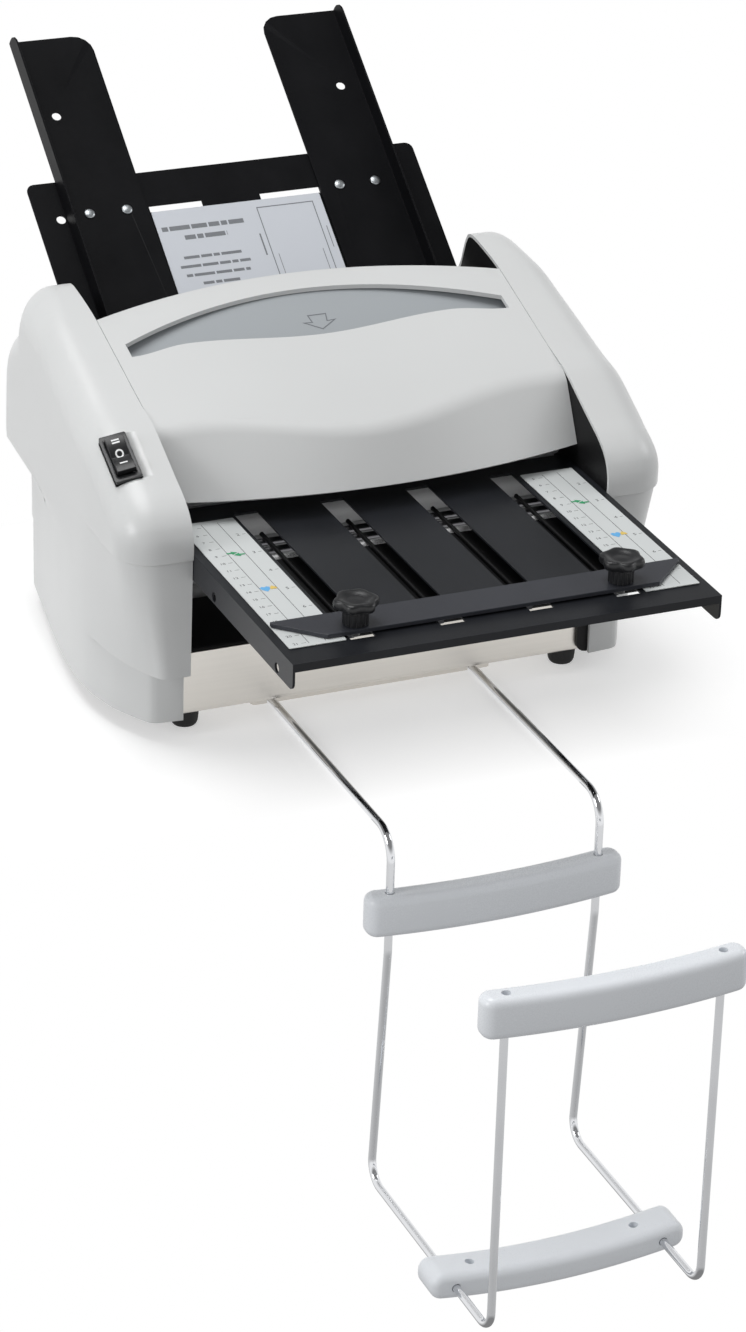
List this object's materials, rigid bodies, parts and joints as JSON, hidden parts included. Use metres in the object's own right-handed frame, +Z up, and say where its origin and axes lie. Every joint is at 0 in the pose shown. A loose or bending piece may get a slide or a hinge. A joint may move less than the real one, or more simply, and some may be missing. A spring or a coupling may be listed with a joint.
{
  "type": "paper folding machine",
  "caption": "Table-top letter folder: sloping feed tray with side guides, hood with hand-feed pocket, fold tray with a sliding stop, fold rollers, rocker switch, hanging wire stacker.",
  "frame": {"origin": "in the plane of the feet, in the middle between them", "axes": "+X to the machine's right seen from the front, -Y towards the front where folded sheets leave, +Z up"},
  "size_m": [0.3456, 0.695, 0.5585],
  "materials": {
    "pale_plastic": "smooth satin, off-white grey",
    "guide_plastic": "satin grey",
    "black_sheet": "fine satin black powder coat",
    "black_plastic": "satin black",
    "ruler_white": "printed white film",
    "panel_steel": "bare steel sheet, satin",
    "machine_steel": "turned steel",
    "bright_wire": "bright plated rod",
    "black_rubber": "dull black",
    "roller_rubber": "fine dull grey",
    "bar_grey": "satin light grey",
    "nylon": "natural nylon",
    "motor_paint": "blue-grey paint"
  },
  "bodies": {
    "machine": {"base_pan": "panel_steel", "bearing_strip_left": "nylon", "bearing_strip_right": "nylon", "cover_left": "pale_plastic", "cover_right": "pale_plastic", "drive_belt": "black_rubber", "exit_chute": "black_sheet", "feed_label": "ruler_white", "feed_tray": "black_sheet", "fold_tray": "black_sheet", "fold_tray_floor": "black_sheet", "foot_front_left": "black_rubber", "foot_front_right": "black_rubber", "foot_rear_left": "black_rubber", "foot_rear_right": "black_rubber", "guide_rivet_1": "machine_steel", "guide_rivet_2": "machine_steel", "guide_rivet_3": "machine_steel", "guide_rivet_4": "machine_steel", "hand_feed_guide": "guide_plastic", "hood": "pale_plastic", "infeed_guide": "panel_steel", "lower_guide": "bright_wire", "motor": "motor_paint", "paper_guide_left": "black_sheet", "paper_guide_right": "black_sheet", "power_inlet": "black_plastic", "rear_fold_plate": "black_sheet", "ruler_left": "ruler_white", "ruler_right": "ruler_white", "separator_spring": "machine_steel", "side_frame_left": "black_sheet", "side_frame_right": "black_sheet", "switch_bezel": "black_plastic"},
    "rocker": {"switch_rocker": "black_plastic"},
    "stop_bar": {"stop_bar": "black_plastic"},
    "stop_knob_left": {"stop_knob_left": "black_plastic"},
    "stop_knob_right": {"stop_knob_right": "black_plastic"},
    "rear_stop": {"rear_stop_bar": "black_plastic"},
    "rear_stop_knob": {"rear_stop_knob": "black_plastic"},
    "infeed": {"infeed_roller": "roller_rubber", "infeed_gear": "nylon"},
    "fold": {"fold_roller": "roller_rubber", "fold_gear": "nylon"},
    "drive": {"drive_roller": "roller_rubber", "drive_gear": "nylon", "drive_pulley": "machine_steel"},
    "exit": {"exit_roller": "roller_rubber", "exit_gear": "nylon"},
    "idler": {"idler_gear": "nylon"},
    "feed": {"feed_shaft": "machine_steel", "feed_wheel": "roller_rubber", "feed_gear": "nylon"},
    "motor_rotor": {"motor_pulley": "machine_steel"},
    "separator": {"separator_pad": "black_rubber"},
    "catcher": {"catcher_wire_left": "bright_wire", "catcher_wire_right": "bright_wire", "catcher_bar_top": "bar_grey", "catcher_bar_front": "bar_grey", "catcher_bar_bottom": "bar_grey"}
  },
  "joints": [
    {"name": "switch_rock", "type": "hinge", "parent": "machine", "child": "rocker", "pos_m": [-0.15867, -0.0724, 0.1714], "axis": [0.9781, -0.093, 0.186], "range_deg": [-10, 10]},
    {"name": "stop_bar_slide", "type": "slide", "parent": "machine", "child": "stop_bar", "axis": [0, 1, 0], "range_m": [-0.008, 0.13]},
    {"name": "stop_knob_left_turn", "type": "hinge", "parent": "stop_bar", "child": "stop_knob_left", "pos_m": [-0.0817, -0.2395, 0.1289], "axis": [0, 0, 1], "range_deg": [0, 720]},
    {"name": "stop_knob_right_turn", "type": "hinge", "parent": "stop_bar", "child": "stop_knob_right", "pos_m": [0.0817, -0.2395, 0.1289], "axis": [0, 0, 1], "range_deg": [0, 720]},
    {"name": "rear_stop_slide", "type": "slide", "parent": "machine", "child": "rear_stop", "axis": [0, 0.9945, -0.1045], "range_m": [-0.045, 0.015]},
    {"name": "rear_stop_knob_turn", "type": "hinge", "parent": "rear_stop", "child": "rear_stop_knob", "pos_m": [0, 0.09194, 0.08948], "axis": [0, 0.1045, 0.9945], "range_deg": [0, 720]},
    {"name": "drive_roller_turn", "type": "hinge", "parent": "machine", "child": "drive", "pos_m": [0, -0.048, 0.0847], "axis": [1, 0, 0], "continuous": true},
    {"name": "infeed_roller_turn", "type": "hinge", "parent": "machine", "child": "infeed", "pos_m": [0, -0.048, 0.1353], "axis": [1, 0, 0], "continuous": true},
    {"name": "fold_roller_turn", "type": "hinge", "parent": "machine", "child": "fold", "pos_m": [0, -0.048, 0.11], "axis": [1, 0, 0], "continuous": true},
    {"name": "exit_roller_turn", "type": "hinge", "parent": "machine", "child": "exit", "pos_m": [0, -0.048, 0.0594], "axis": [1, 0, 0], "continuous": true},
    {"name": "idler_gear_turn", "type": "hinge", "parent": "machine", "child": "idler", "pos_m": [0, -0.02194, 0.14188], "axis": [1, 0, 0], "continuous": true},
    {"name": "feed_shaft_turn", "type": "hinge", "parent": "machine", "child": "feed", "pos_m": [0, 0.0048, 0.13909], "axis": [1, 0, 0], "continuous": true},
    {"name": "motor_turn", "type": "hinge", "parent": "machine", "child": "motor_rotor", "pos_m": [0, 0.06, 0.0446], "axis": [1, 0, 0], "continuous": true},
    {"name": "separator_press", "type": "slide", "parent": "machine", "child": "separator", "axis": [0, 0.5886, -0.8085], "range_m": [0, 0.0015], "stiffness_N_per_m": 300, "springref_m": -0.003, "deforming": ["separator_spring"]},
    {"name": "catcher_pull", "type": "slide", "parent": "machine", "child": "catcher", "axis": [0, -1, 0], "range_m": [0, 0.045]}
  ],
  "couplings": [
    {"joint": "infeed_roller_turn", "follows": "drive_roller_turn", "ratio": 1},
    {"joint": "fold_roller_turn", "follows": "drive_roller_turn", "ratio": -1},
    {"joint": "exit_roller_turn", "follows": "drive_roller_turn", "ratio": -1},
    {"joint": "idler_gear_turn", "follows": "drive_roller_turn", "ratio": -0.88889},
    {"joint": "feed_shaft_turn", "follows": "drive_roller_turn", "ratio": 1},
    {"joint": "motor_turn", "follows": "drive_roller_turn", "ratio": 1.875}
  ]
}
